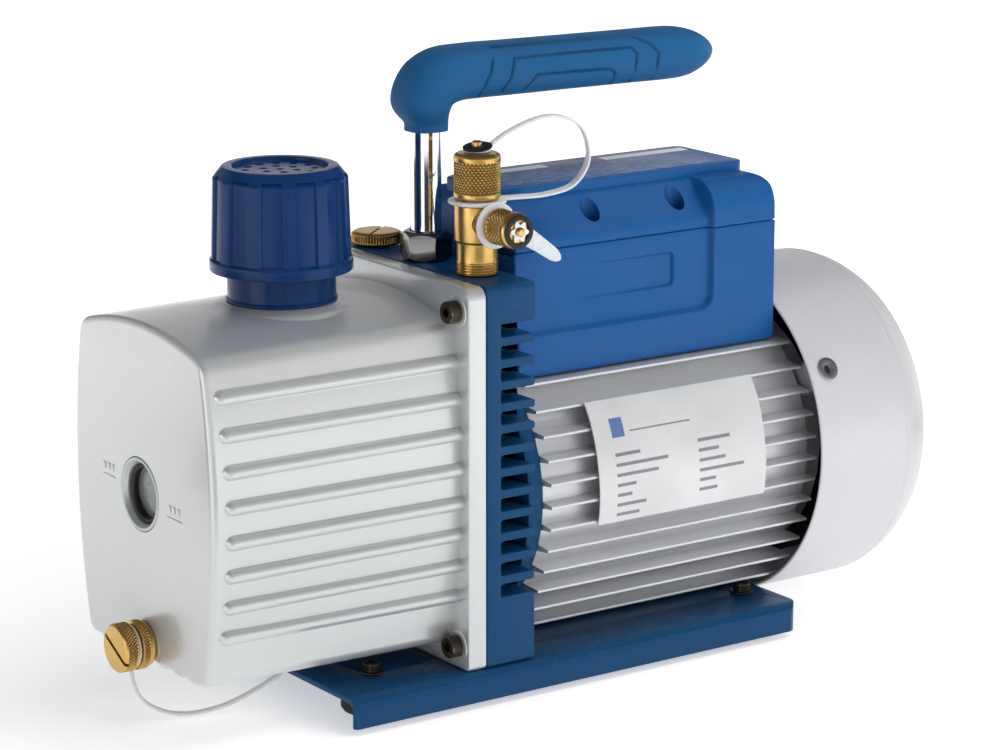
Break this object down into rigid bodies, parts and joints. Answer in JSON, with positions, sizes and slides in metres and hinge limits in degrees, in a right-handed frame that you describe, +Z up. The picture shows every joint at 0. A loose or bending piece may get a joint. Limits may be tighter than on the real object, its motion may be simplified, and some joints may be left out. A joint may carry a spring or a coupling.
{
  "type": "rotary vane vacuum pump",
  "caption": "Two-stage rotary vane vacuum pump with ribbed oil tank, cast body, finned electric motor, carrying handle and steel base.",
  "frame": {"origin": "centre of the bounding box in X and Y, at floor level under the rubber feet", "axes": "+X along the shaft from the oil tank to the fan cover, +Y away from the side with the inlet fitting, +Z up"},
  "size_m": [0.3434, 0.137, 0.2434],
  "materials": {
    "blue_paint": "semi-gloss stoved enamel",
    "box_plastic": "satin moulded plastic",
    "cap_plastic": "satin moulded plastic",
    "grip_rubber": "soft moulded grip",
    "tank_cast": "silver painted die casting, satin",
    "fin_alu": "drawn, bright",
    "cover_sheet": "pressed sheet, silver paint",
    "shield_cast": "as cast",
    "chrome": "bright chrome plate",
    "brass": "machined and knurled",
    "screw_black": "black oxide with bronze cast",
    "zinc": "bright zinc",
    "foot_rubber": "moulded rubber",
    "tether_plastic": "translucent nylon",
    "lens_glass": "clear",
    "ring_metal": "turned",
    "filter_felt": "felt",
    "lamination": "stacked laminations",
    "enamel_wire": "enamelled copper wire",
    "fan_plastic": "moulded nylon",
    "steel": "ground",
    "iron": "machined cast iron",
    "vane_comp": "glass-phenolic composite",
    "black_plastic": "moulded",
    "cap_case": "moulded can",
    "plate_alu": "satin printed plate, blank"
  },
  "bodies": {
    "root": {"base_plate": "blue_paint", "pump_body": "blue_paint", "terminal_box": "box_plastic", "terminal_box_lid": "box_plastic", "filler_neck": "cap_plastic", "handle_grip": "grip_rubber", "oil_tank": "tank_cast", "motor_housing": "fin_alu", "fan_cover": "cover_sheet", "motor_end_shield": "shield_cast", "handle_post": "chrome", "handle_nut": "chrome", "inlet_tee": "brass", "drain_valve_body": "brass", "tank_screw_lower_near": "screw_black", "tank_screw_lower_far": "screw_black", "tank_screw_upper_near": "screw_black", "tank_screw_upper_far": "screw_black", "foot_screw_front_near": "screw_black", "foot_screw_front_far": "screw_black", "foot_screw_rear_near": "screw_black", "foot_screw_rear_far": "screw_black", "fan_cover_screw_near": "zinc", "fan_cover_screw_far": "zinc", "fan_cover_screw_bottom": "zinc", "foot_front_near": "foot_rubber", "foot_front_far": "foot_rubber", "foot_rear_near": "foot_rubber", "foot_rear_far": "foot_rubber", "sight_glass_lens": "lens_glass", "sight_glass_ring": "ring_metal", "stator_core": "lamination", "stator_winding": "enamel_wire", "bearing_front": "steel", "bearing_rear": "steel", "pump_stator": "iron", "pump_end_cover": "iron", "power_inlet": "black_plastic", "run_capacitor": "cap_case", "rating_plate": "plate_alu"},
    "rotor": {"motor_shaft": "steel", "motor_rotor_core": "lamination", "cooling_fan": "fan_plastic", "pump_rotor_stage1": "steel", "pump_rotor_stage2": "steel"},
    "vane_1a": {"vane_stage1_a": "vane_comp"},
    "vane_1b": {"vane_stage1_b": "vane_comp"},
    "vane_2a": {"vane_stage2_a": "vane_comp"},
    "vane_2b": {"vane_stage2_b": "vane_comp"},
    "exhaust_filter": {"exhaust_filter_element": "filter_felt"},
    "exhaust_cap": {"exhaust_cap": "cap_plastic"},
    "drain_ring": {"drain_tether": "tether_plastic"},
    "drain_cap": {"drain_cap": "brass"},
    "inlet_top_ring": {"inlet_tether_top": "tether_plastic"},
    "inlet_top_cap": {"inlet_cap_top": "brass"},
    "inlet_side_ring": {"inlet_tether_side": "tether_plastic"},
    "inlet_side_cap": {"inlet_cap_side": "brass"},
    "gas_ballast": {"gas_ballast_knob": "brass"},
    "switch": {"rocker_switch": "black_plastic"},
    "flap": {"exhaust_flap": "steel"}
  },
  "joints": [
    {"name": "rotor_spin", "type": "hinge", "parent": "root", "child": "rotor", "pos_m": [-0.04325, 0, 0.075], "axis": [1, 0, 0], "continuous": true},
    {"name": "vane_1a_slide", "type": "slide", "parent": "rotor", "child": "vane_1a", "axis": [0, 1, 0], "range_m": [0, 0.003]},
    {"name": "vane_1b_slide", "type": "slide", "parent": "rotor", "child": "vane_1b", "axis": [0, -1, 0], "range_m": [0, 0.003]},
    {"name": "vane_2a_slide", "type": "slide", "parent": "rotor", "child": "vane_2a", "axis": [0, 1, 0], "range_m": [0, 0.003]},
    {"name": "vane_2b_slide", "type": "slide", "parent": "rotor", "child": "vane_2b", "axis": [0, -1, 0], "range_m": [0, 0.003]},
    {"name": "exhaust_cap_lift", "type": "slide", "parent": "root", "child": "exhaust_filter", "axis": [0, 0, 1], "range_m": [0, 0.015]},
    {"name": "exhaust_cap_turn", "type": "hinge", "parent": "exhaust_filter", "child": "exhaust_cap", "pos_m": [-0.09715, 0, 0.166], "axis": [0, 0, 1], "range_deg": [0, 1350.1]},
    {"name": "drain_cap_lift", "type": "slide", "parent": "root", "child": "drain_ring", "axis": [-1, 0, 0], "range_m": [0, 0.0075]},
    {"name": "drain_cap_turn", "type": "hinge", "parent": "drain_ring", "child": "drain_cap", "pos_m": [-0.17175, 0, 0.031], "axis": [-1, 0, 0], "range_deg": [0, 1800.1]},
    {"name": "inlet_top_cap_lift", "type": "slide", "parent": "root", "child": "inlet_top_ring", "axis": [0, 0, 1], "range_m": [0, 0.00847]},
    {"name": "inlet_top_cap_turn", "type": "hinge", "parent": "inlet_top_ring", "child": "inlet_top_cap", "pos_m": [-0.03225, -0.0346, 0.1907], "axis": [0, 0, 1], "range_deg": [0, 2160.1]},
    {"name": "inlet_side_cap_lift", "type": "slide", "parent": "root", "child": "inlet_side_ring", "axis": [0, -1, 0], "range_m": [0, 0.00635]},
    {"name": "inlet_side_cap_turn", "type": "hinge", "parent": "inlet_side_ring", "child": "inlet_side_cap", "pos_m": [-0.03225, -0.0476, 0.1825], "axis": [0, -1, 0], "range_deg": [0, 1800.1]},
    {"name": "gas_ballast_turn", "type": "hinge", "parent": "root", "child": "gas_ballast", "pos_m": [-0.03225, 0.035, 0.162], "axis": [0, 0, 1], "range_deg": [0, 360]},
    {"name": "switch_rock", "type": "hinge", "parent": "root", "child": "switch", "pos_m": [0.06175, 0.0346, 0.1505], "axis": [1, 0, 0], "range_deg": [0, 16]},
    {"name": "exhaust_flap_lift", "type": "hinge", "parent": "root", "child": "flap", "pos_m": [-0.08725, -0.002, 0.1093], "axis": [1, 0, 0], "range_deg": [0, 8]}
  ],
  "couplings": [
    {"joint": "exhaust_cap_turn", "follows": "exhaust_cap_lift", "rad_per_m": 1570.8},
    {"joint": "drain_cap_turn", "follows": "drain_cap_lift", "rad_per_m": 4188.8},
    {"joint": "inlet_top_cap_turn", "follows": "inlet_top_cap_lift", "rad_per_m": 4453},
    {"joint": "inlet_side_cap_turn", "follows": "inlet_side_cap_lift", "rad_per_m": 4947.4}
  ]
}
